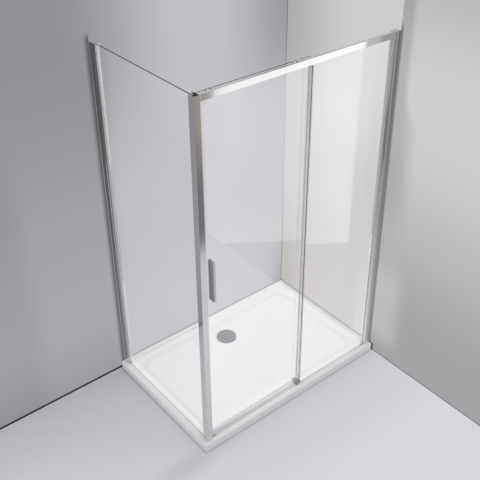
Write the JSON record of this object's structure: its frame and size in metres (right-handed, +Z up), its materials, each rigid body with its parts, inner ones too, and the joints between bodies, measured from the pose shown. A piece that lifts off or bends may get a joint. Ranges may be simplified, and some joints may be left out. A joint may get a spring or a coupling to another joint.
{
  "type": "shower enclosure with sliding door",
  "caption": "Corner shower enclosure on a low white tray: fixed glass panels on bright profiles, with a glass door that slides on rollers behind a top rail.",
  "frame": {"origin": "middle of the tray's underside, on the floor", "axes": "+X along the door front towards the right-hand wall, +Y inwards to the back wall, +Z up"},
  "size_m": [1.2, 0.8, 1.92],
  "materials": {
    "tray_white": "smooth gloss white",
    "bright_aluminium": "bright polished",
    "chrome_trim": "mirror bright",
    "clear_glass": "clear toughened glass",
    "clear_seal": "translucent soft vinyl",
    "grey_rubber": "dark soft rubber",
    "black_plastic": "black moulded",
    "grey_plastic": "grey moulded",
    "white_nylon": "white nylon",
    "bright_steel": "bright drawn steel"
  },
  "bodies": {
    "enclosure": {"tray": "tray_white", "waste_body": "grey_plastic", "waste_body_gasket": "grey_rubber", "waste_flange": "chrome_trim", "waste_flange_gasket": "grey_rubber", "right_wall_channel": "bright_aluminium", "right_glazing_profile": "bright_aluminium", "right_glazing_gasket": "grey_rubber", "right_channel_cap": "grey_plastic", "right_lock_screws": "bright_steel", "left_wall_channel": "bright_aluminium", "left_glazing_profile": "bright_aluminium", "left_glazing_gasket": "grey_rubber", "left_channel_cap": "grey_plastic", "left_lock_screws": "bright_steel", "corner_post": "bright_aluminium", "post_cap": "black_plastic", "post_foot_plug": "black_plastic", "post_gasket": "grey_rubber", "striker_strip": "clear_seal", "top_rail": "bright_aluminium", "rail_end_brackets": "bright_steel", "rail_bracket_screw": "bright_steel", "rail_wedge": "grey_rubber", "rail_stops": "grey_plastic", "stop_buffers": "grey_rubber", "side_glass": "clear_glass", "side_foot_seal": "clear_seal", "fixed_glass": "clear_glass", "fixed_edge_seal": "clear_seal", "fixed_foot_seal": "clear_seal", "foot_guide": "chrome_trim", "guide_liners": "white_nylon", "guide_screw": "bright_steel", "threshold": "bright_aluminium", "threshold_end_clip": "grey_plastic"},
    "door": {"door_glass": "clear_glass", "magnet_seal": "clear_seal", "trailing_seal": "clear_seal", "door_foot_seal": "clear_seal", "leading_hanger": "bright_steel", "trailing_hanger": "bright_steel", "hanger_pads": "grey_rubber", "hanger_bushes": "white_nylon", "hanger_bolts": "chrome_trim", "roller_axles": "bright_steel", "handle_outer": "chrome_trim", "handle_inner": "chrome_trim", "handle_pads": "grey_rubber", "handle_bushes": "white_nylon", "handle_bolts": "bright_steel"},
    "roller_1": {"roller_1_tyre": "white_nylon", "roller_1_bearing": "bright_steel"},
    "roller_2": {"roller_2_tyre": "white_nylon", "roller_2_bearing": "bright_steel"},
    "roller_3": {"roller_3_tyre": "white_nylon", "roller_3_bearing": "bright_steel"},
    "roller_4": {"roller_4_tyre": "white_nylon", "roller_4_bearing": "bright_steel"},
    "waste_cover": {"waste_cover": "chrome_trim"}
  },
  "joints": [
    {"name": "door_slide", "type": "slide", "parent": "enclosure", "child": "door", "axis": [1, 0, 0], "range_m": [0, 0.48]},
    {"name": "roller_1_spin", "type": "hinge", "parent": "door", "child": "roller_1", "pos_m": [-0.4835, -0.352, 1.906], "axis": [0, 1, 0], "continuous": true},
    {"name": "roller_2_spin", "type": "hinge", "parent": "door", "child": "roller_2", "pos_m": [-0.4565, -0.352, 1.906], "axis": [0, 1, 0], "continuous": true},
    {"name": "roller_3_spin", "type": "hinge", "parent": "door", "child": "roller_3", "pos_m": [-0.0335, -0.352, 1.906], "axis": [0, 1, 0], "continuous": true},
    {"name": "roller_4_spin", "type": "hinge", "parent": "door", "child": "roller_4", "pos_m": [-0.0065, -0.352, 1.906], "axis": [0, 1, 0], "continuous": true},
    {"name": "waste_cover_lift", "type": "slide", "parent": "enclosure", "child": "waste_cover", "axis": [0, 0, 1], "range_m": [0, 0.06]}
  ],
  "couplings": [
    {"joint": "roller_1_spin", "follows": "door_slide", "rad_per_m": 102.04},
    {"joint": "roller_2_spin", "follows": "door_slide", "rad_per_m": 102.04},
    {"joint": "roller_3_spin", "follows": "door_slide", "rad_per_m": 102.04},
    {"joint": "roller_4_spin", "follows": "door_slide", "rad_per_m": 102.04}
  ]
}
